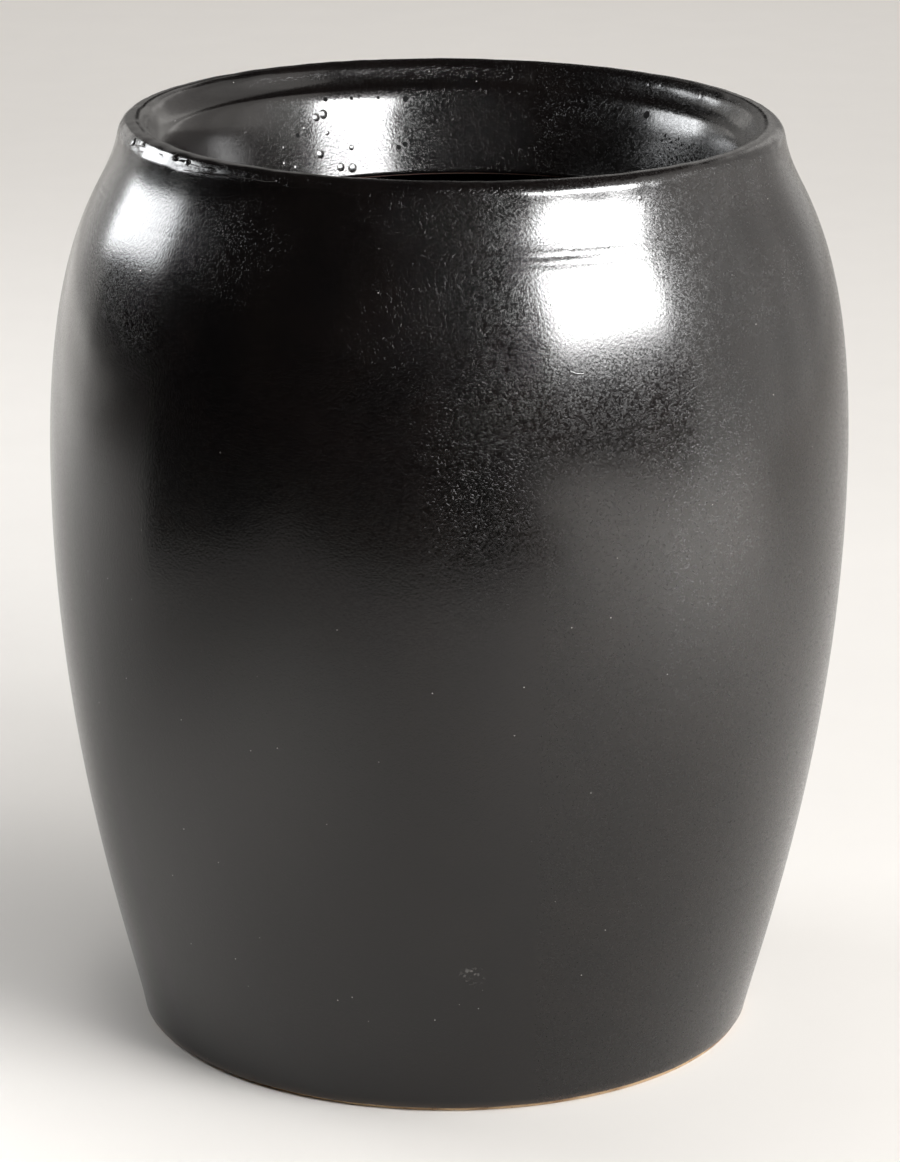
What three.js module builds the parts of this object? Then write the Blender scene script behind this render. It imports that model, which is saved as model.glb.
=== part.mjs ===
// A barrel-shaped stoneware kitchen canister with a turned-out lip and a tapered collar in its mouth.
// Three layers: the fired clay, the glaze over its outside and mouth, and the glaze that lines its hollow.
// Millimetres, +Z up, with the origin at the middle of the foot. Profiles are drawn as x = radius, y = height.
import * as THREE from 'three';

// Barrel, measured on the glazed surface
const jarHeight = 200;
const footRadius = 67.4;
const bellyRadius = 86.4;
const bellyHeight = 125;

// How the barrel curves: leans in mm out for each mm of rise, easings as shares of the stretch they shape
const footLean = 0.17;
const footEase = 0.1;
const bellyEaseBelow = 0.51;
const bellyEaseAbove = 0.62;
const shoulderLean = -0.53;
const shoulderEase = 0.15;

// Lip and mouth, measured on the glazed surface
const mouthRadius = 67.5;
const lipBeadRadius = 3.3;
const lipOuterFace = 5.1;
const neckBlend = 4.9;
const lipInnerFace = 3;
const lipBandWidth = 7.1;
const lipBandDrop = 5.7;
const ridgeBlend = 6;
const collarTaper = 3.8;
const collarDepth = 24.4;

// Clay and glaze thicknesses, and the hairline between the fired glaze and the clay
const outerGlazeThickness = 0.5;
const liningThickness = 0.4;
const wallThickness = 6;
const collarThickness = 5.5;
const bondGap = 0.01;

// Bare clay below the outer glaze and at the throat
const footBareBand = 1;
const throatBareBand = 0.5;
const throatEdgeRound = 0.3;
const collarEdgeRound = 1.2;

// Foot and floor
const footEdgeRound = 0.7;
const footRingWidth = 8.5;
const footRecessDepth = 3;
const footRecessBlend = 4;
const floorHeight = 8;
const floorFillet = 7;

// Pocket that the draining slip leaves between the collar and the shoulder
const pocketDepth = 7;
const pocketRise = 3;

// Where the lip bead meets the neck, crests and meets the band, as angles round the bead
const beadStart = THREE.MathUtils.degToRad(11);
const beadCrest = Math.PI / 2;
const beadEnd = THREE.MathUtils.degToRad(153);

const segmentsRound = 48;

const point = (radius, height) => new THREE.Vector2(radius, height);

// Heights and radii that follow from the sizes above
const beadCentre = point(mouthRadius, jarHeight - lipBeadRadius);
const onBead = (angle) => point(Math.cos(angle), Math.sin(angle)).multiplyScalar(lipBeadRadius).add(beadCentre);
const aheadOnBead = (angle) => point(-Math.sin(angle), Math.cos(angle));
const neckPoint = onBead(beadStart).addScaledVector(aheadOnBead(beadStart), -lipOuterFace);
const shoulderTop = point(neckPoint.x - shoulderLean * neckBlend, neckPoint.y - neckBlend);
const covePoint = onBead(beadEnd).addScaledVector(aheadOnBead(beadEnd), lipInnerFace);
const ridgePoint = point(mouthRadius - lipBandWidth, jarHeight - lipBandDrop);
const throatPoint = point(ridgePoint.x - collarTaper, jarHeight - collarDepth);
const funnelLean = throatPoint.clone().sub(ridgePoint).normalize();

// Outside of the barrel, from the foot to the belly and on to the neck
const upperRise = shoulderTop.y - bellyHeight;
const lowerBarrel = new THREE.CubicBezierCurve(
  point(footRadius, 0),
  point(footRadius + footLean * footEase * bellyHeight, footEase * bellyHeight),
  point(bellyRadius, bellyHeight - bellyEaseBelow * bellyHeight),
  point(bellyRadius, bellyHeight),
);
const upperBarrel = new THREE.CubicBezierCurve(
  point(bellyRadius, bellyHeight),
  point(bellyRadius, bellyHeight + bellyEaseAbove * upperRise),
  point(shoulderTop.x - shoulderLean * shoulderEase * upperRise, shoulderTop.y - shoulderEase * upperRise),
  shoulderTop,
);

// Lip: a shallow neck, a round bead, a cove that turns into a sloping band, a soft ridge, then the tapered collar
const bandMiddle = covePoint.clone().lerp(ridgePoint, 0.5);
const ridgeEnd = ridgePoint.clone().addScaledVector(funnelLean, ridgeBlend);
const neckCurve = new THREE.QuadraticBezierCurve(shoulderTop, neckPoint, onBead(beadStart));
const beadArc = (from, to) => new THREE.EllipseCurve(
  beadCentre.x, beadCentre.y, lipBeadRadius, lipBeadRadius, from, to,
);
const coveCurve = new THREE.QuadraticBezierCurve(onBead(beadEnd), covePoint, bandMiddle);
const ridgeCurve = new THREE.QuadraticBezierCurve(bandMiddle, ridgePoint, ridgeEnd);
const collarCurve = new THREE.LineCurve(ridgeEnd, throatPoint);

// A point of a curve, moved off to its right by the given distance, which is out of the clay on every outer curve
function beside(curve, t, distance) {
  const along = curve.getTangent(t);
  return curve.getPoint(t).add(point(along.y, -along.x).multiplyScalar(distance));
}

// The place along a rising or falling curve where that moved point reaches a height
function atHeight(curve, distance, height) {
  const rises = curve.getPoint(1).y > curve.getPoint(0).y;
  let low = 0;
  let high = 1;
  for (let step = 0; step < 40; step += 1) {
    const middle = (low + high) / 2;
    const below = beside(curve, middle, distance).y < height;
    if (below === rises) low = middle;
    else high = middle;
  }
  return (low + high) / 2;
}

// Points of a run of curves, moved off by the given distance. Each stretch is [curve, steps, from, to].
function trace(stretches, distance) {
  const points = [];
  stretches.forEach(([curve, steps, from = 0, to = 1], index) => {
    for (let step = index === 0 ? 0 : 1; step <= steps; step += 1) {
      points.push(beside(curve, from + ((to - from) * step) / steps, distance));
    }
  });
  return points;
}

// The outer glaze runs from its line above the foot, over the lip and down the collar to just short of the throat
const throatZ = throatPoint.y;
const outerStretches = [
  [lowerBarrel, 6, atHeight(lowerBarrel, 0, footBareBand), 1],
  [upperBarrel, 7],
  [neckCurve, 2],
  [beadArc(beadStart, beadCrest), 4],
  [beadArc(beadCrest, beadEnd), 3],
  [coveCurve, 3],
  [ridgeCurve, 3],
  [collarCurve, 1, 0, atHeight(collarCurve, 0, throatZ + throatBareBand)],
];
const glazeFace = trace(outerStretches, 0);
const glazeBack = trace(outerStretches, -outerGlazeThickness);
const claySurface = -outerGlazeThickness - bondGap;
const clayFace = trace(outerStretches, claySurface);

// Bare clay below the glaze line, and the foot ring and its recess underneath
const footEdge = beside(lowerBarrel, atHeight(lowerBarrel, claySurface, footEdgeRound), claySurface);
const footOuter = footEdge.x - footEdgeRound;
const footInner = footOuter - footRingWidth;
const recessEdge = new THREE.QuadraticBezierCurve(
  point(footInner - footRecessBlend, footRecessDepth),
  point(footInner - footRecessBlend / 4, footRecessDepth),
  point(footInner, 0),
);
const footPoints = [
  point(0, footRecessDepth),
  ...recessEdge.getPoints(3),
  point(footOuter, 0),
  footEdge,
];

// Bare edge of the throat, trimmed flat across the bottom of the collar
const collarBack = claySurface - collarThickness;
const throatClay = beside(collarCurve, 1, claySurface);
const collarFoot = beside(collarCurve, atHeight(collarCurve, collarBack, throatZ + collarEdgeRound), collarBack);
const throatPoints = [
  point(throatClay.x, throatZ + throatEdgeRound),
  point(throatClay.x + throatEdgeRound, throatZ),
  point(collarFoot.x - collarEdgeRound, throatZ),
];

// Hollow: up the back of the collar, over the pocket, down the wall and across the floor
const wallBack = claySurface - wallThickness;
const pocketZ = throatZ + pocketDepth;
const pocketInner = beside(collarCurve, atHeight(collarCurve, collarBack, pocketZ), collarBack);
const wallTop = atHeight(upperBarrel, wallBack, pocketZ);
const pocketOuter = beside(upperBarrel, wallTop, wallBack);
const filletTop = atHeight(lowerBarrel, wallBack, floorHeight + floorFillet);
const wallFoot = beside(lowerBarrel, filletTop, wallBack);
const pocketWidth = pocketOuter.x - pocketInner.x;
const pocketRoof = new THREE.EllipseCurve(
  pocketInner.x + pocketWidth / 2, pocketZ, pocketWidth / 2, pocketRise, Math.PI, 0, true,
);
const floorEdge = point(wallFoot.x - floorFillet, floorHeight);
const floorCorner = point(wallFoot.x - floorFillet / 8, floorHeight);

// The wall curves are traced from below, so the hollow is built upwards and then turned round
const risingWall = trace([[lowerBarrel, 5, filletTop, 1], [upperBarrel, 4, 0, wallTop]], wallBack);
const fallingWall = risingWall.reverse();

// Out of the hollow's own curves, distance moves into the hollow
function hollow(distance) {
  const wallCurve = new THREE.SplineCurve(fallingWall);
  return trace(
    [
      [new THREE.LineCurve(collarFoot, pocketInner), 1],
      [pocketRoof, 4],
      [wallCurve, fallingWall.length - 1],
      [new THREE.QuadraticBezierCurve(wallFoot, floorCorner, floorEdge), 3],
      [new THREE.LineCurve(floorEdge, point(0, floorHeight)), 1],
    ],
    distance,
  );
}
const hollowClay = hollow(0);
const liningBack = hollow(bondGap);
const liningFace = hollow(bondGap + liningThickness);

// A solid of revolution from a profile that runs anticlockwise, with the axis along Z
function turned(name, profile, material) {
  const geometry = new THREE.LatheGeometry(profile, segmentsRound);
  geometry.rotateX(Math.PI / 2);
  const mesh = new THREE.Mesh(geometry, material);
  mesh.name = name;
  return mesh;
}

const bareClay = new THREE.MeshStandardMaterial({ color: 0xb08058, roughness: 0.9, metalness: 0 });
const blackGlaze = new THREE.MeshStandardMaterial({ color: 0x161413, roughness: 0.28, metalness: 0 });
const liningGlaze = new THREE.MeshStandardMaterial({ color: 0x12100f, roughness: 0.35, metalness: 0 });

const clayProfile = [...footPoints, ...clayFace, ...throatPoints, ...hollowClay];
const outerProfile = [...glazeFace, ...glazeBack.reverse(), glazeFace[0]];
const liningProfile = [...liningBack.reverse(), ...liningFace];

const canister = new THREE.Group();
canister.add(turned('clay_body', clayProfile, bareClay));
canister.add(turned('outer_glaze', outerProfile, blackGlaze));
canister.add(turned('lining_glaze', liningProfile, liningGlaze));

export default canister;
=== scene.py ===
import math
import random

import bmesh
import bpy
from mathutils import Matrix, Quaternion, Vector, noise
from mathutils.geometry import interpolate_bezier


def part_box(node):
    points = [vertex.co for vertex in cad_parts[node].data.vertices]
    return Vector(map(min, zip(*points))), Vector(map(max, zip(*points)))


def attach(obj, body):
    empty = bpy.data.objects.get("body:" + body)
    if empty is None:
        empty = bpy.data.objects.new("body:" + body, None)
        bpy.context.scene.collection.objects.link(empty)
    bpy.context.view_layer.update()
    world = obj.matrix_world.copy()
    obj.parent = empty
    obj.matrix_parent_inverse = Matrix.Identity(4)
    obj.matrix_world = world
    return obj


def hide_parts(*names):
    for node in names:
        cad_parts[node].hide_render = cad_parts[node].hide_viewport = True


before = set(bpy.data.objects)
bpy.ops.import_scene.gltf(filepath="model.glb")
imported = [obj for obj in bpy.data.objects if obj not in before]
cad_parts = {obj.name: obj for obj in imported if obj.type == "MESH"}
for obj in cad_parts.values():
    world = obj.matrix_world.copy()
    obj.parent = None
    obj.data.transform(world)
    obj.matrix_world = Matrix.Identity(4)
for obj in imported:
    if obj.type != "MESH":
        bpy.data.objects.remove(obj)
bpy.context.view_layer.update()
print("frame loaded, nodes:", sorted(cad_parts))

mm = 0.001
glazeLow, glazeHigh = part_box("outer_glaze")

# the canister's sizes in millimetres; the three that the frame gives are read from it
jar = dict(
    height=glazeHigh.z / mm,
    bellyRadius=glazeHigh.x / mm,
    footLine=glazeLow.z / mm,       # where the outer glaze starts
    footRadius=67.4,
    bellyHeight=125,
    footLean=0.17,
    footEase=0.1,
    bellyEaseBelow=0.51,
    bellyEaseAbove=0.62,
    shoulderLean=-0.53,
    shoulderEase=0.15,
    mouthRadius=67.5,
    beadRadius=3.3,
    beadStart=11,                   # degrees round the bead
    beadEnd=153,
    outerFace=5.1,
    neckBlend=4.9,
    innerFace=3,
    bandWidth=7.1,
    bandDrop=5.7,
    ridgeBlend=6,
    collarTaper=4.4,
    collarDepth=24.4,
    glazeThickness=0.5,
    liningThickness=0.4,
    wall=6,
    collarWall=5.5,
    throatBare=0.6,
)
turnSteps = 360

# points along each stretch of the outline, the share of them that each surface takes, and points round the edges
curveSteps = dict(lower=34, upper=76, neck=16, bead=30, cove=14, ridge=13, collar=22, pocket=14, fillet=12)
edgeSteps = dict(glazeRoll=6, liningRoll=5, recess=10, footRound=7, throatRound=5, collarRound=6)
detail = dict(seen=1, glazeBack=0.25, clayFace=0.4, clayHollow=0.6, liningBack=0.4)


# outline helpers: points are (radius, 0, height) in millimetres
def at(radius, height):
    return Vector((radius, 0, height))


def countOf(stretch, share):
    return int(curveSteps[stretch] * share)


def cornerRun(start, corner, end, count):
    return interpolate_bezier(start, start.lerp(corner, 2 / 3), end.lerp(corner, 2 / 3), end, count)


def straightRun(start, end, count):
    return [start.lerp(end, step / (count - 1)) for step in range(count)]


def chain(*runs):
    joined = []
    for run in runs:
        for point in run:
            if not joined or (point - joined[-1]).length > 1e-4:
                joined.append(point.copy())
    return joined


def besideRun(points, distance):
    moved = []
    for index, point in enumerate(points):
        before = points[max(index - 1, 0)]
        after = points[min(index + 1, len(points) - 1)]
        along = (after - before).normalized()
        moved.append(point + at(along.z, -along.x) * distance)
    return moved


def spinPoints(points, closed, steps, weld):
    shape = bmesh.new()
    ring = [shape.verts.new(point) for point in points]
    edges = [shape.edges.new(pair) for pair in zip(ring, ring[1:])]
    if closed:
        edges.append(shape.edges.new((ring[-1], ring[0])))
    bmesh.ops.spin(
        shape, geom=ring + edges, cent=(0, 0, 0), axis=(0, 0, 1), dvec=(0, 0, 0),
        angle=2 * math.pi, steps=steps, use_merge=True,
    )
    bmesh.ops.remove_doubles(shape, verts=shape.verts[:], dist=weld)
    bmesh.ops.recalc_face_normals(shape, faces=shape.faces[:])
    return shape


def turnOutline(points, closed):
    return spinPoints([point * mm for point in points], closed, turnSteps, weld=1e-7)


def linkMesh(name, shape):
    mesh = bpy.data.meshes.new(name)
    shape.to_mesh(mesh)
    shape.free()
    made = bpy.data.objects.new(name, mesh)
    bpy.context.scene.collection.objects.link(made)
    return made


def addPiece(name, shape, material, node=None):
    for face in shape.faces:
        face.smooth = True
    piece = linkMesh(name, shape)
    piece.data.materials.append(material)
    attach(piece, "root")
    if node:
        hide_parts(node)
    print("made", name, len(piece.data.polygons), "faces")


# the glazed outside: barrel, shallow neck, lip bead, cove, band, ridge and collar
def beadPoint(degrees):
    turn = math.radians(degrees)
    centre = at(jar["mouthRadius"], jar["height"] - jar["beadRadius"])
    return centre + at(math.cos(turn), math.sin(turn)) * jar["beadRadius"]


def beadAhead(degrees):
    turn = math.radians(degrees)
    return at(-math.sin(turn), math.cos(turn))


def neckAndShoulder():
    neck = beadPoint(jar["beadStart"]) - beadAhead(jar["beadStart"]) * jar["outerFace"]
    return neck, neck + at(-jar["shoulderLean"], -1) * jar["neckBlend"]


def ridgeAndThroat():
    ridge = at(jar["mouthRadius"] - jar["bandWidth"], jar["height"] - jar["bandDrop"])
    return ridge, at(ridge.x - jar["collarTaper"], jar["height"] - jar["collarDepth"])


def barrelRuns(share):
    shoulder = neckAndShoulder()[1]
    belly = at(jar["bellyRadius"], jar["bellyHeight"])
    foot = at(jar["footRadius"], 0)
    lowerEase = jar["footEase"] * belly.z
    rise = shoulder.z - belly.z
    lower = interpolate_bezier(
        foot,
        foot + at(jar["footLean"] * lowerEase, lowerEase),
        belly - at(0, jar["bellyEaseBelow"] * belly.z),
        belly,
        countOf("lower", share),
    )
    upper = interpolate_bezier(
        belly,
        belly + at(0, jar["bellyEaseAbove"] * rise),
        shoulder - at(jar["shoulderLean"], 1) * jar["shoulderEase"] * rise,
        shoulder,
        countOf("upper", share),
    )
    return lower, upper


def lipRuns(share):
    neck, shoulder = neckAndShoulder()
    ridge, throat = ridgeAndThroat()
    start, end = jar["beadStart"], jar["beadEnd"]
    count = countOf("bead", share)
    bead = [beadPoint(start + (end - start) * step / count) for step in range(count + 1)]
    cove = bead[-1] + beadAhead(end) * jar["innerFace"]
    bandMiddle = cove.lerp(ridge, 0.5)
    down = (throat - ridge).normalized()
    ridgeEnd = ridge + down * jar["ridgeBlend"]
    return [
        cornerRun(shoulder, neck, bead[0], countOf("neck", share)),
        bead,
        cornerRun(bead[-1], cove, bandMiddle, countOf("cove", share)),
        cornerRun(bandMiddle, ridge, ridgeEnd, countOf("ridge", share)),
        straightRun(ridgeEnd, throat - down * jar["throatBare"], countOf("collar", share)),
    ]


def glazeOutline(share):
    lower, upper = barrelRuns(share)
    line = jar["footLine"]
    clear = line + 0.5          # no point crowds the start
    above = [point for point in lower if point.z > clear]
    below = [point for point in lower if point.z <= clear][-1]
    start = below.lerp(above[0], (line - below.z) / (above[0].z - below.z))
    return chain([start], above, upper, *lipRuns(share))


def smoothStep(low, high, value):
    share = min(max((value - low) / (high - low), 0), 1)
    return share * share * (3 - 2 * share)


def turnAngle(place):
    return math.degrees(math.atan2(place.x, -place.y))      # 0 faces the camera, + to the right


# the collar was trimmed by hand, a little lower on the left
throatTrim = dict(
    slope=0.02,
    radii=(64.6, 66),           # fades out from the collar
    fadeIn=(168, 172),          # heights
    fadeOut=(177, 192),
)


def throatTilt(place):
    s = throatTrim
    radius, height = math.hypot(place.x, place.y) / mm, place.z / mm
    near = (1 - smoothStep(*s["radii"], radius)) * smoothStep(*s["fadeIn"], height)
    return s["slope"] * place.x * near * (1 - smoothStep(*s["fadeOut"], height))


def tiltThroat(shape):
    for vert in shape.verts:
        vert.co.z += throatTilt(vert.co)


skinShape = dict(
    footRoll=0.4,               # mm, how far the glaze's edges round over
    throatRoll=0.35,
    lipHeights=(194.5, 197),    # where the lumps start and where they are full
    lipRadii=(62.5, 65),
    lipLump=0.10,               # mm, everywhere on the lip
    lipLumpLeft=0.10,           # mm more, on the lumpy stretch
    lumpMiddle=-64,             # degrees
    lumpHalf=34,
    lumpCore=0.4,               # share of the half that is lumpiest
    lumpSize=4.2,               # mm
    flatMiddle=33,              # degrees round the bead, where its outer edge is pressed flat there
    flatHalf=24,
    ringZone=(182, 190),
    ringHeights=(184.6, 186.0, 187.3),
    ringDepth=0.05,
    ringHalf=0.5,
    ringShare=0.6,              # of the depth on average, for a ring comes and goes
    ringPatch=16,               # mm, the length over which it does
    footZone=(1.5, 5),
    footTilt=0.35,
    footWave=0.12,
    footWaveSize=9,
)


def lipLumps(place, radius, height):
    s = skinShape
    away = abs(turnAngle(place) - s["lumpMiddle"]) / s["lumpHalf"]
    near = 1 - smoothStep(s["lumpCore"], 1, away)
    lump = (s["lipLump"] + s["lipLumpLeft"] * near) * noise.noise(place / (s["lumpSize"] * mm))
    beadTurn = math.degrees(math.atan2(height - jar["height"] + jar["beadRadius"], radius - jar["mouthRadius"]))
    off = abs(beadTurn - s["flatMiddle"])
    if off < s["flatHalf"]:
        chord = math.cos(math.radians(s["flatHalf"])) / math.cos(math.radians(off))
        lump -= near * jar["beadRadius"] * (1 - chord)
    return lump


def turningRings(place):
    s = skinShape
    height = place.z / mm
    depth = 0
    for ring in s["ringHeights"]:
        broken = s["ringShare"] + noise.noise(Vector((place.x, place.y, ring)) / (s["ringPatch"] * mm))
        depth -= s["ringDepth"] * broken * math.exp(-((height - ring) / s["ringHalf"]) ** 2)
    return depth


def footShift(place):
    s = skinShape
    side = math.sin(math.radians(turnAngle(place)))
    return s["footTilt"] * side + s["footWave"] * noise.noise(place / (s["footWaveSize"] * mm))


def shapeSkin(shape):
    s = skinShape
    ringLow, ringHigh = s["ringZone"]
    shape.normal_update()
    for vert in shape.verts:
        place = vert.co.copy()
        height = place.z / mm
        radius = math.hypot(place.x, place.y) / mm
        outward = vert.normal * mm
        onLip = smoothStep(*s["lipHeights"], height) * smoothStep(*s["lipRadii"], radius)
        if onLip:
            vert.co += outward * onLip * lipLumps(place, radius, height)
        if radius > jar["mouthRadius"] and ringLow < height < ringHigh:
            vert.co += outward * turningRings(place)
        if height < s["footZone"][1]:
            vert.co.z += footShift(place) * (1 - smoothStep(*s["footZone"], height)) * mm
        vert.co.z += throatTilt(place)


def rolledEdge(start, end, drop, count):
    return cornerRun(start, start.lerp(end, 0.5) - at(0, drop), end, count)


def makeOuterGlaze(material):
    s = skinShape
    face = glazeOutline(detail["seen"])
    back = besideRun(glazeOutline(detail["glazeBack"]), -jar["glazeThickness"])
    footRoll = rolledEdge(back[0], face[0], s["footRoll"], edgeSteps["glazeRoll"])
    throatRoll = rolledEdge(face[-1], back[-1], s["throatRoll"], edgeSteps["glazeRoll"])
    outline = chain(footRoll, face, throatRoll, reversed(back))
    outline.pop()
    shape = turnOutline(outline, closed=True)
    shapeSkin(shape)
    addPiece("outer_glaze_skin", shape, material, "outer_glaze")


# the fired clay: foot ring with a recess, barrel wall, lip, collar and floor
clayShape = dict(
    footRound=0.7,
    footTuck=0.6,               # mm of the foot's lean below the glaze
    ringWidth=8.5,
    recessDepth=3,
    recessBlend=4,
    floorHeight=8,
    floorFillet=7,
    filletLean=0.6,
    throatRound=0.3,
    throatTuck=(0.06, 0.1),     # the bare edge stands in from the glaze by these
    collarRound=1.2,
    pocketDepth=7,
    pocketRise=3,
    skinGap=0.02,
    liningRoll=0.3,
)


def hollowOutline(share):
    s = clayShape
    ridge, throat = ridgeAndThroat()
    down = (throat - ridge).normalized()
    skin = jar["glazeThickness"] + s["skinGap"]
    behind = at(-down.z, down.x) * (skin + jar["collarWall"])
    pocketTop = throat.z + s["pocketDepth"]
    collarFoot = throat + behind - down * (s["collarRound"] / -down.z)
    pocketIn = throat + behind - down * (s["pocketDepth"] / -down.z)
    lower, upper = barrelRuns(share)
    wall = besideRun(chain(lower, upper), -(skin + jar["wall"]))
    wall = [point for point in wall if s["floorHeight"] + s["floorFillet"] < point.z < pocketTop]
    wall.reverse()
    half = (wall[0].x - pocketIn.x) / 2
    roof = []
    roofSteps = countOf("pocket", share)
    for step in range(roofSteps + 1):
        turn = math.pi * (1 - step / roofSteps)
        roof.append(at(pocketIn.x + half + half * math.cos(turn), pocketTop + s["pocketRise"] * math.sin(turn)))
    floorEdge = at(wall[-1].x - s["floorFillet"], s["floorHeight"])
    corner = at(wall[-1].x - s["filletLean"], s["floorHeight"])
    fillet = cornerRun(wall[-1], corner, floorEdge, countOf("fillet", share))
    floorRun = [at(floorEdge.x * part, s["floorHeight"]) for part in (0.9, 0.6, 0.3, 0)]
    return chain([collarFoot, pocketIn], roof[1:-1], wall, fillet, floorRun)


def makeClayPot(material):
    s = clayShape
    throat = ridgeAndThroat()[1]
    face = besideRun(glazeOutline(detail["clayFace"]), -(jar["glazeThickness"] + s["skinGap"]))
    footEdge = at(face[0].x - jar["footLean"] * s["footTuck"], s["footRound"])
    ringOut = footEdge.x - s["footRound"]
    ringIn = ringOut - s["ringWidth"]
    recess = cornerRun(
        at(ringIn - s["recessBlend"], s["recessDepth"]),
        at(ringIn - s["recessBlend"] / 4, s["recessDepth"]),
        at(ringIn, 0),
        edgeSteps["recess"],
    )
    under = [at(ringIn * part, s["recessDepth"]) for part in (0, 0.3, 0.6, 0.85)]
    footRound = cornerRun(at(ringOut, 0), at(footEdge.x, 0), footEdge, edgeSteps["footRound"])
    hollow = hollowOutline(detail["clayHollow"])
    throatIn = face[-1].x
    topTuck, lowTuck = s["throatTuck"]
    throatEdge = cornerRun(
        at(throatIn - topTuck, throat.z + s["throatRound"]),
        at(throatIn - lowTuck, throat.z),
        at(throatIn + s["throatRound"], throat.z),
        edgeSteps["throatRound"],
    )
    collarEdge = cornerRun(
        at(hollow[0].x - s["collarRound"], throat.z),
        at(hollow[0].x, throat.z),
        hollow[0],
        edgeSteps["collarRound"],
    )
    outline = chain(under, recess, footRound, face, throatEdge, collarEdge, hollow)
    shape = turnOutline(outline, closed=False)
    tiltThroat(shape)
    addPiece("clay_pot", shape, material, "clay_body")


def makeLining(material):
    s = clayShape
    back = besideRun(hollowOutline(detail["liningBack"]), s["skinGap"])
    face = besideRun(hollowOutline(detail["seen"]), s["skinGap"] + jar["liningThickness"])
    back[-1].x = face[-1].x = 0
    edge = rolledEdge(back[0], face[0], s["liningRoll"], edgeSteps["liningRoll"])
    shape = turnOutline(chain(reversed(back), edge, face), closed=False)
    tiltThroat(shape)
    addPiece("lining_glaze_skin", shape, material, "lining_glaze")


# small fired faults of the glaze, each as degrees, height and radius in mm
blemishes = dict(
    # blisters on the collar, on the outside of the lip and on the band inside it
    collar=[
        (-149.2, 189.5, 0.85), (-151, 190, 1.0), (-151.5, 186, 0.5), (-149.3, 181.8, 0.9),
        (-154, 178.6, 0.95), (-156.8, 178.2, 1.05), (-140, 184.2, 0.45), (-139.6, 181, 0.5),
        (-142.5, 179.8, 0.45), (-146, 187.5, 0.4), (-157, 182.5, 0.6), (-121, 190, 0.4), (-160, 193, 0.5),
    ],
    lip=[
        (-70.6, 198.7, 0.8), (-66, 199.2, 0.5), (-53.8, 199.2, 0.9), (-50, 198.9, 0.6), (32, 195.4, 0.5),
        (15, 198.3, 0.35), (17, 198.0, 0.3), (13.5, 198.1, 0.25), (22, 198.2, 0.25), (-8, 197.8, 0.3),
    ],
    band=[(122, 198.3, 0.9), (134, 198.6, 0.6), (137, 198.2, 0.5), (106, 198.5, 0.6), (-158, 198.6, 0.5)],
    # popped ones on the collar, and a field of fine ones there; they are drawn as matte dark discs, painted shade
    # for their hollows
    pinholes=[
        (-168, 181.9, 0.6), (-169.5, 182.5, 0.6), (-171, 183.2, 0.6), (134, 192.4, 0.95),
        (-170, 192.2, 0.75), (-152, 193.1, 0.6), (-158, 192.9, 0.45), (-144, 186.3, 0.55), (-164, 192.7, 0.4),
    ],
    pitField=dict(angles=(112, 128), heights=(179, 189), count=64, radii=(0.18, 0.42), seed=7),
    domeHeight=0.15,            # share of the radius
    pinholeHeight=0.12,
    # profiles for a radius and a height of 1
    dome=[(0, 1), (0.35, 0.92), (0.66, 0.64), (0.88, 0.28), (1.06, 0.02), (1.2, -0.25), (0, -0.25)],
    disc=[(0, 0.7), (0.72, 0.7), (0.92, 0.25), (1.0, -0.5), (0, -0.5)],
    sides=10,
)


def spotOn(outline, degrees, height, inside):
    crest = max(range(len(outline)), key=lambda index: outline[index].z)
    run = outline[crest:] if inside else outline[:crest + 1]
    for first, second in zip(run, run[1:]):
        if (first.z - height) * (second.z - height) <= 0 and first.z != second.z:
            break
    point = first.lerp(second, (height - first.z) / (second.z - first.z))
    along = (second - first).normalized()
    turn = Matrix.Rotation(math.radians(degrees - 90), 3, "Z")
    return turn @ point * mm, turn @ at(along.z, -along.x)


def bumpTemplate(profile):
    shape = spinPoints([at(*point) for point in profile], False, blemishes["sides"], weld=1e-5)
    mesh = bpy.data.meshes.new("template")
    shape.to_mesh(mesh)
    shape.free()
    return mesh


def stampAll(shape, template, outline, spots, inside, tall):
    for degrees, height, radius in spots:
        place, normal = spotOn(outline, degrees, height, inside)
        turn = normal.to_track_quat("Z", "Y").to_matrix().to_4x4()
        grow = Matrix.Diagonal((radius * mm, radius * mm, radius * tall * mm, 1))
        start = len(shape.verts)
        shape.from_mesh(template)
        shape.verts.ensure_lookup_table()
        bmesh.ops.transform(shape, matrix=Matrix.Translation(place) @ turn @ grow, verts=shape.verts[start:])


def makeBlisters(material):
    s = blemishes
    outline = glazeOutline(detail["seen"])
    dome = bumpTemplate(s["dome"])
    shape = bmesh.new()
    stampAll(shape, dome, outline, s["collar"] + s["band"], True, s["domeHeight"])
    stampAll(shape, dome, outline, s["lip"], False, s["domeHeight"])
    tiltThroat(shape)
    bpy.data.meshes.remove(dome)
    addPiece("glaze_blisters", shape, material)


# matte dark discs laid over the pits: painted shade for their hollows, since the glaze skin is not cut
def makePinholes(material):
    s = blemishes
    field = s["pitField"]
    chance = random.Random(field["seed"])
    pits = [
        (chance.uniform(*field["angles"]), chance.uniform(*field["heights"]), chance.uniform(*field["radii"]))
        for _ in range(field["count"])
    ]
    disc = bumpTemplate(s["disc"])
    shape = bmesh.new()
    stampAll(shape, disc, glazeOutline(detail["seen"]), s["pinholes"] + pits, True, s["pinholeHeight"])
    tiltThroat(shape)
    bpy.data.meshes.remove(disc)
    addPiece("glaze_pinholes_painted_shade", shape, material)


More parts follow.
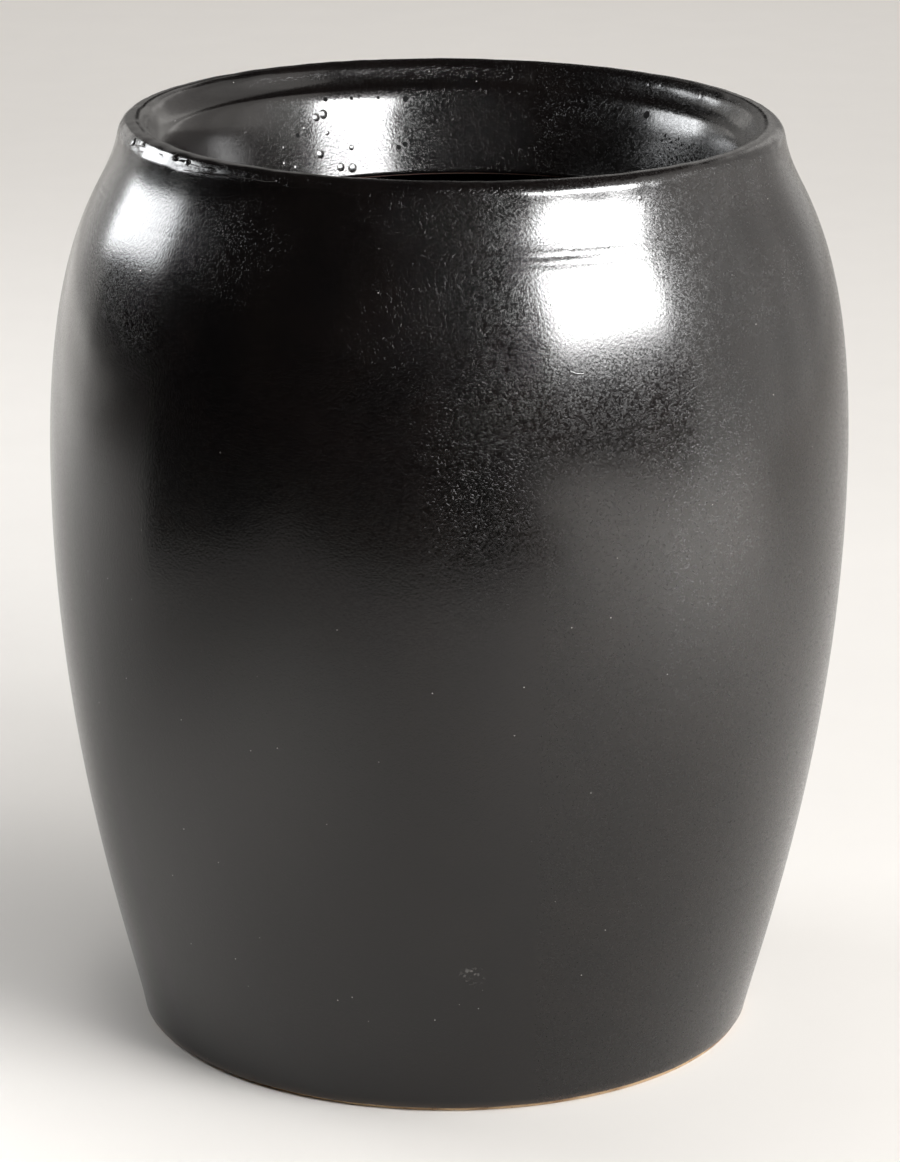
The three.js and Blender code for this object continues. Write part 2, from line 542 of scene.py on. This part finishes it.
# fine threads of glaze that stand up: degrees and height along the path, then radii in mm
lipThread = dict(
    path=[
        (-50, 197.3), (-46, 197.7), (-42, 197.95), (-38, 198.15), (-34.5, 198.35), (-31.5, 198.45), (-29.6, 198.5),
    ],
    radii=[0.12, 0.16, 0.18, 0.2, 0.24, 0.5, 0.25],
)
sickle = dict(
    path=[(16.2, 165.3), (16.7, 164.5), (17.5, 164), (18.4, 163.9), (19.2, 164.1)],
    radii=[0.08, 0.2, 0.28, 0.22, 0.08],
)
threadSides = 8
threadFlat = 0.6                # height of a thread as a share of its width


def makeThread(name, thread, material):
    outline = glazeOutline(detail["seen"])
    places = [spotOn(outline, degrees, height, False) for degrees, height in thread["path"]]
    last = len(places) - 1
    shape = bmesh.new()
    rings = []
    for index, (place, normal) in enumerate(places):
        ahead = (places[min(index + 1, last)][0] - places[max(index - 1, 0)][0]).normalized()
        across = ahead.cross(normal)
        radius = thread["radii"][index] * mm
        stand = Matrix((across * radius, normal * radius * threadFlat, ahead)).transposed().to_4x4()
        stand.translation = place
        start = len(shape.edges)
        bmesh.ops.create_circle(shape, segments=threadSides, radius=1, matrix=stand)
        shape.edges.ensure_lookup_table()
        rings.append(shape.edges[start:])
    for first, second in zip(rings, rings[1:]):
        bmesh.ops.bridge_loops(shape, edges=first + second)
    bmesh.ops.holes_fill(shape, edges=rings[0] + rings[-1])
    bmesh.ops.recalc_face_normals(shape, faces=shape.faces[:])
    addPiece(name, shape, material)


# materials
def addNode(tree, kind, inputs=None, **settings):
    made = tree.nodes.new(kind)
    for key, value in settings.items():
        setattr(made, key, value)
    for socket, value in (inputs or {}).items():
        if isinstance(value, bpy.types.NodeSocket):
            tree.links.new(value, made.inputs[socket])
        else:
            made.inputs[socket].default_value = value
    return made


def maths(tree, operation, first, second=0.0, third=0.0):
    made = addNode(tree, "ShaderNodeMath", {0: first, 1: second, 2: third}, operation=operation)
    return made.outputs[0]


def remap(tree, value, fromLow, fromHigh, toLow, toHigh):
    made = addNode(
        tree, "ShaderNodeMapRange",
        {"Value": value, "From Min": fromLow, "From Max": fromHigh, "To Min": toLow, "To Max": toHigh},
    )
    return made.outputs[0]


def blendColour(tree, share, first, second):
    made = addNode(
        tree, "ShaderNodeMix", {"Factor": share, "A": first, "B": second}, data_type="RGBA", clamp_factor=True
    )
    return made.outputs["Result"]


def noiseField(tree, place, size, layers):
    made = addNode(
        tree, "ShaderNodeTexNoise",
        {"Vector": place, "Scale": 1 / (size * mm), "Detail": layers, "Roughness": 0.55},
    )
    return made.outputs["Fac"]


def cellField(tree, place, size):
    return addNode(tree, "ShaderNodeTexVoronoi", {"Vector": place, "Scale": 1 / (size * mm)}).outputs


def spotField(tree, place, spacing, radius, soft):
    near = cellField(tree, place, spacing)["Distance"]
    edge = radius / spacing
    return remap(tree, near, edge * soft, edge, 1, 0)


def axes(tree, vector):
    return addNode(tree, "ShaderNodeSeparateXYZ", {0: vector}).outputs


def bumpOf(tree, relief):
    return addNode(tree, "ShaderNodeBump", {"Height": relief, "Distance": mm}).outputs["Normal"]


def startMaterial(name):
    material = bpy.data.materials.new(name)
    material.use_nodes = True
    tree = material.node_tree
    shader = next(node for node in tree.nodes if node.type == "BSDF_PRINCIPLED")
    place = addNode(tree, "ShaderNodeTexCoord").outputs["Object"]
    return material, tree, shader, place


# sizes in mm
glazeLook = dict(
    dark=(0.0027, 0.0021, 0.0021, 1),
    warm=(0.0046, 0.0034, 0.0031, 1),
    mottleSize=14,
    mottleRange=(0.35, 0.65),
    breakBrown=(0.075, 0.040, 0.020, 1),    # where the coat runs thin, above its line at the foot
    breakShare=0.6,
    breakHeights=(1.4, 3.0),
    breakWave=1.6,
    breakWaveSize=5,
    gloss=0.14,                     # roughness of the smooth film
    satin=0.275,                    # and of the roughest grains in it
    grainSize=0.34,
    grainHeight=0.012,
    grainFrom=(0.28, 0.85),         # chance at which a cell starts to be rough, and at which it is roughest
    grainFade=(-45, 20, 0.5),       # from this x to the left the grain has this share, and all of it right of that x
    cloudSize=6,                    # patches with more or less grain
    cloudPull=0.35,
    peelSize=0.6,
    peelHeight=0.025,
    pitSpacing=3.3,
    pitRadius=0.5,
    pitSoft=0.5,
    dust=(0.45, 0.43, 0.41, 1),
    dustSpacing=5,
    dustRadius=0.15,
    dustSoft=0.6,
    dustRough=0.4,
    scuff=(0.10, 0.095, 0.09, 1),
    scuffAt=(4, 34.3),              # degrees, height
    scuffRadii=(1, 3.5),
    scuffGrain=0.9,
    scuffRange=(0.56, 0.66),
    ior=1.5,
)
# the lining's dark is painted lighter than the outer glaze's: painted light that keeps the hollow seen through the
# throat from reading pure black
liningLook = dict(glazeLook, dark=(0.02, 0.017, 0.016, 1), gloss=0.22)


def glazeColour(tree, place, look, dust):
    mottle = noiseField(tree, place, look["mottleSize"], 4)
    colour = blendColour(tree, remap(tree, mottle, *look["mottleRange"], 0, 1), look["dark"], look["warm"])
    wave = noiseField(tree, place, look["breakWaveSize"], 3)
    ragged = maths(tree, "MULTIPLY_ADD", wave, look["breakWave"] * mm, axes(tree, place)["Z"])
    low, high = look["breakHeights"]
    thin = remap(tree, ragged, low * mm, high * mm, 1, 0)
    colour = blendColour(tree, maths(tree, "MULTIPLY", thin, look["breakShare"]), colour, look["breakBrown"])
    colour = blendColour(tree, dust, colour, look["dust"])
    scuffPlace = spotOn(glazeOutline(detail["seen"]), *look["scuffAt"], False)[0]
    away = addNode(tree, "ShaderNodeVectorMath", {0: place, 1: scuffPlace}, operation="DISTANCE").outputs["Value"]
    core, rim = look["scuffRadii"]
    scratches = remap(tree, noiseField(tree, place, look["scuffGrain"], 3), *look["scuffRange"], 0, 1)
    scuff = maths(tree, "MULTIPLY", remap(tree, away, core * mm, rim * mm, 1, 0), scratches)
    return blendColour(tree, scuff, colour, look["scuff"])


def glazeGrain(tree, place, look):
    chance = axes(tree, cellField(tree, place, look["grainSize"])["Color"])["X"]
    cloud = maths(tree, "SUBTRACT", noiseField(tree, place, look["cloudSize"], 3), 0.5)
    chance = maths(tree, "MULTIPLY_ADD", cloud, look["cloudPull"], chance)
    pits = spotField(tree, place, look["pitSpacing"], look["pitRadius"], look["pitSoft"])
    smooth = maths(tree, "SUBTRACT", 1, pits)
    grain = maths(tree, "MULTIPLY", remap(tree, chance, *look["grainFrom"], 0, 1), smooth)
    faded, full, share = look["grainFade"]
    return maths(tree, "MULTIPLY", grain, remap(tree, axes(tree, place)["X"], faded * mm, full * mm, share, 1))


def makeGlazeMaterial(name, look):
    material, tree, shader, place = startMaterial(name)
    dust = spotField(tree, place, look["dustSpacing"], look["dustRadius"], look["dustSoft"])
    grain = glazeGrain(tree, place, look)
    roughness = remap(tree, grain, 0, 1, look["gloss"], look["satin"])
    roughness = maths(tree, "MULTIPLY_ADD", dust, look["dustRough"], roughness)
    peel = maths(tree, "MULTIPLY", noiseField(tree, place, look["peelSize"], 2), look["peelHeight"])
    relief = maths(tree, "MULTIPLY_ADD", grain, look["grainHeight"], peel)
    tree.links.new(glazeColour(tree, place, look, dust), shader.inputs["Base Color"])
    tree.links.new(roughness, shader.inputs["Roughness"])
    tree.links.new(bumpOf(tree, relief), shader.inputs["Normal"])
    shader.inputs["IOR"].default_value = look["ior"]
    return material


# near-black, matte and barely shiny: the pinholes' painted shade
pinholeShadeLook = dict(
    colour=(0.0016, 0.0014, 0.0014, 1),
    grit=(0.00352, 0.00308, 0.00308, 1),
    gritSize=0.3,
    roughness=0.85,
    shine=0.15,
)


def makePinholeShadeMaterial(look):
    material, tree, shader, place = startMaterial("pinhole painted shade")
    grit = noiseField(tree, place, look["gritSize"], 2)
    tree.links.new(blendColour(tree, grit, look["colour"], look["grit"]), shader.inputs["Base Color"])
    shader.inputs["Roughness"].default_value = look["roughness"]
    shader.inputs["Specular IOR Level"].default_value = look["shine"]
    return material


clayLook = dict(
    tan=(0.50, 0.35, 0.205, 1),
    brown=(0.27, 0.16, 0.08, 1),
    patchSize=11,
    patchRange=(0.42, 0.64),
    speck=(0.06, 0.03, 0.015, 1),
    speckSpacing=0.9,
    speckRadius=0.16,
    speckSoft=0.5,
    scorched=(0.055, 0.016, 0.007, 1),      # at the throat edge
    scorchHeights=(100, 110),
    toothSize=0.5,
    toothHeight=0.06,
    toothRange=(0.3, 0.7),
    roughness=(0.78, 0.95),
)


def makeClayMaterial(look):
    material, tree, shader, place = startMaterial("bare fired clay")
    patch = noiseField(tree, place, look["patchSize"], 4)
    colour = blendColour(tree, remap(tree, patch, *look["patchRange"], 0, 1), look["tan"], look["brown"])
    specks = spotField(tree, place, look["speckSpacing"], look["speckRadius"], look["speckSoft"])
    colour = blendColour(tree, specks, colour, look["speck"])
    low, high = look["scorchHeights"]
    scorch = remap(tree, axes(tree, place)["Z"], low * mm, high * mm, 0, 1)
    colour = blendColour(tree, scorch, colour, look["scorched"])
    tooth = noiseField(tree, place, look["toothSize"], 4)
    relief = maths(tree, "MULTIPLY", tooth, look["toothHeight"])
    roughness = remap(tree, tooth, *look["toothRange"], *look["roughness"])
    tree.links.new(colour, shader.inputs["Base Color"])
    tree.links.new(roughness, shader.inputs["Roughness"])
    tree.links.new(bumpOf(tree, relief), shader.inputs["Normal"])
    return material


# stage: pale floor, two soft boxes, white panels at the sides and back, and a dark room in front; sizes in metres
stageLook = dict(
    floorHalf=6.0,
    floorColour=(0.72, 0.695, 0.665, 1),
    farPaintedLightColour=(0.92, 0.89, 0.855, 1),
    paintedLightDepths=(-0.06, 0.34),                  # depths between which the floor is painted paler: painted light for the far floor
    paperShade=(0.5, 0.48, 0.46, 1),
    paperShare=0.03,
    paperRange=(0.3, 0.7),
    paperSize=30,                           # mm
    floorRough=0.9,
    floorShine=0.1,
    darkFront=(-6, 0.28, -6, -0.46),        # left, right, front and back edges
    darkLeft=(-6, -0.43, -0.46, -0.02),
    darkColour=(0.01, 0.01, 0.01, 1),
    darkRise=0.002,
    worldColour=(0.012, 0.012, 0.012, 1),
    aim=(0, 0, 0.15),
    boxes=[
        # name, azimuth, elevation, distance, width, height, roll, radiance, tint
        ("right soft box", 46, 25, 0.55, 0.32, 0.24, 0, 17, (1, 1, 1)),
        ("right soft box rim", 47, 26, 0.56, 0.42, 0.40, 0, 1.2, (1, 1, 1)),
        ("left soft box", -115, 20, 0.74, 0.42, 0.24, 18, 9, (0.97, 0.985, 1)),
    ],
    glints=[
        # the bright middles of the boxes, seen only in the glaze
        ("right soft box middle", 46, 26.8, 0.545, 0.30, 0.19, 0, 42, (1, 1, 1)),
        ("left soft box middle", -115, 20.5, 0.735, 0.34, 0.19, 18, 6, (0.95, 0.975, 1)),
    ],
    panels=[
        # name, place, faces, width, height, radiance; the four on the right overlap and so fade to the back
        ("right panel near", (0.80, -0.15, 0.70), (-1, 0, 0), 0.3, 1.4, 1.35),
        ("right panel middle", (0.80, -0.05, 0.70), (-1, 0, 0), 0.5, 1.4, 1.4),
        ("right panel wide", (0.80, 0.10, 0.70), (-1, 0, 0), 0.8, 1.4, 0.9),
        ("right panel whole", (0.80, 0.95, 0.70), (-1, 0, 0), 2.5, 1.4, 0.65),
        ("left white panel", (-0.85, 1.40, 0.40), (1, 0, 0), 1.7, 0.8, 0.76),
        ("back white panel", (0, 1.9, 0.25), (0, -1, 0), 3.0, 0.50, 0.3),
        ("far right panel", (0.615, 1.9, 0.95), (0, -1, 0), 1.03, 0.9, 0.7),
        ("far left panel", (-0.615, 1.9, 0.95), (0, -1, 0), 1.03, 0.9, 0.42),
    ],
    panelTint=(1, 0.97, 0.93),
    floorLamps=[
        # name, place, width, depth, radiance, spread: they face straight down and don't show in the glaze
        ("far floor lamp", (0, 1.15, 1.6), 1.4, 1.3, 0.37, 60),
        ("middle floor lamp", (0, 0.42, 1.0), 1.0, 0.7, 0.10, 40),
        ("front floor lamp", (0, -0.42, 0.6), 0.5, 0.3, 0.12, 40),
        ("right floor lamp", (0.58, -0.48, 0.5), 0.5, 0.95, 3.4, 45),
        ("left floor lamp", (-0.16, -0.14, 0.5), 0.16, 0.24, 0.9, 28),
        ("left side lamp", (-0.12, 0.16, 0.5), 0.10, 0.20, 0.2, 30),
        ("left back floor lamp", (-0.85, 0.85, 0.5), 0.9, 0.9, 1.0, 40),
    ],
)


def addFloor():
    s = stageLook
    shape = bmesh.new()
    bmesh.ops.create_grid(shape, x_segments=8, y_segments=8, size=s["floorHalf"])
    floor = linkMesh("studio_floor", shape)
    material, tree, shader, place = startMaterial("pale paper floor")
    # the floor's colour pales towards the back: painted light, not a change in the paper
    far = remap(tree, axes(tree, place)["Y"], *s["paintedLightDepths"], 0, 1)
    colour = blendColour(tree, far, s["floorColour"], s["farPaintedLightColour"])
    paper = remap(tree, noiseField(tree, place, s["paperSize"], 4), *s["paperRange"], 0, s["paperShare"])
    tree.links.new(blendColour(tree, paper, colour, s["paperShade"]), shader.inputs["Base Color"])
    shader.inputs["Roughness"].default_value = s["floorRough"]
    shader.inputs["Specular IOR Level"].default_value = s["floorShine"]
    floor.data.materials.append(material)


def addDarkFloor(name, edges):
    # painted shade: a dark sheet that stands for the unlit room; only reflections see it
    s = stageLook
    left, right, front, back = edges
    shape = bmesh.new()
    bmesh.ops.create_grid(shape, x_segments=1, y_segments=1, size=0.5)
    bmesh.ops.scale(shape, vec=(right - left, back - front, 1), verts=shape.verts)
    bmesh.ops.translate(shape, vec=((left + right) / 2, (front + back) / 2, s["darkRise"]), verts=shape.verts)
    card = linkMesh(name, shape)
    material, _, shader, _ = startMaterial(name)
    shader.inputs["Base Color"].default_value = s["darkColour"]
    shader.inputs["Roughness"].default_value = s["floorRough"]
    card.data.materials.append(material)
    card.visible_camera = False
    card.visible_shadow = False
    card.visible_diffuse = False


def directionOf(azimuth, elevation):
    a, e = math.radians(azimuth), math.radians(elevation)
    return Vector((math.sin(a) * math.cos(e), -math.cos(a) * math.cos(e), math.sin(e)))


def addLamp(name, place, faces, width, height, radiance, tint, spread=180, roll=0):
    lamp = bpy.data.lights.new(name, "AREA")
    lamp.shape = "RECTANGLE"
    lamp.size = width
    lamp.size_y = height
    lamp.energy = radiance * math.pi * width * height
    lamp.spread = math.radians(spread)
    lamp.color = tint
    holder = bpy.data.objects.new(name, lamp)
    bpy.context.scene.collection.objects.link(holder)
    holder.location = place
    turn = Vector(faces).to_track_quat("-Z", "Y") @ Quaternion((0, 0, 1), math.radians(roll))
    holder.rotation_euler = turn.to_euler()
    holder.visible_camera = False
    return holder


def addBox(name, azimuth, elevation, distance, width, height, roll, radiance, tint):
    out = directionOf(azimuth, elevation)
    place = Vector(stageLook["aim"]) + out * distance
    return addLamp(name, place, -out, width, height, radiance, tint, roll=roll)


def addLights():
    s = stageLook
    for box in s["boxes"]:
        addBox(*box)
    for box in s["glints"]:
        addBox(*box).visible_diffuse = False
    for panel in s["panels"]:
        addLamp(*panel, s["panelTint"])
    for name, place, width, depth, radiance, spread in s["floorLamps"]:
        lamp = addLamp(name, place, (0, 0, -1), width, depth, radiance, (1, 1, 1), spread)
        lamp.visible_glossy = False
    world = bpy.data.worlds.new("dim room")
    world.use_nodes = True
    world.node_tree.nodes["Background"].inputs["Color"].default_value = s["worldColour"]
    bpy.context.scene.world = world


# camera at the photograph's viewing angle
cameraPlace = dict(
    back=0.91445,
    height=0.37846,
    pitch=17.132,
    yaw=0.025,
    roll=0.440,
    lens=135.12,
    sensor=36,          # on the long side
)


def addCamera():
    s = cameraPlace
    pitch, yaw, roll = (math.radians(s[key]) for key in ("pitch", "yaw", "roll"))
    ahead = Vector((math.sin(yaw) * math.cos(pitch), math.cos(yaw) * math.cos(pitch), -math.sin(pitch)))
    side = Vector((math.cos(yaw), -math.sin(yaw), 0))
    above = side.cross(ahead)
    right = side * math.cos(roll) + above * math.sin(roll)
    up = above * math.cos(roll) - side * math.sin(roll)
    data = bpy.data.cameras.new("photo camera")
    data.lens = s["lens"]
    data.sensor_width = s["sensor"]
    camera = bpy.data.objects.new("photo camera", data)
    bpy.context.scene.collection.objects.link(camera)
    turn = Matrix((right, up, -ahead)).transposed().to_4x4()
    camera.matrix_world = Matrix.Translation((0, -s["back"], s["height"])) @ turn
    bpy.context.scene.camera = camera


addCamera()
print("camera placed")
blackGlaze = makeGlazeMaterial("black satin glaze", glazeLook)
innerGlaze = makeGlazeMaterial("black lining glaze", liningLook)
bareClay = makeClayMaterial(clayLook)
makeOuterGlaze(blackGlaze)
makeClayPot(bareClay)
makeLining(innerGlaze)
makeBlisters(blackGlaze)
makePinholes(makePinholeShadeMaterial(pinholeShadeLook))
makeThread("lip_glaze_thread", lipThread, blackGlaze)
makeThread("shoulder_glaze_sickle", sickle, blackGlaze)
addFloor()
addDarkFloor("dark_front", stageLook["darkFront"])
addDarkFloor("dark_left", stageLook["darkLeft"])
addLights()
print("stage and lights set")
bpy.context.scene.view_settings.view_transform = "Standard"
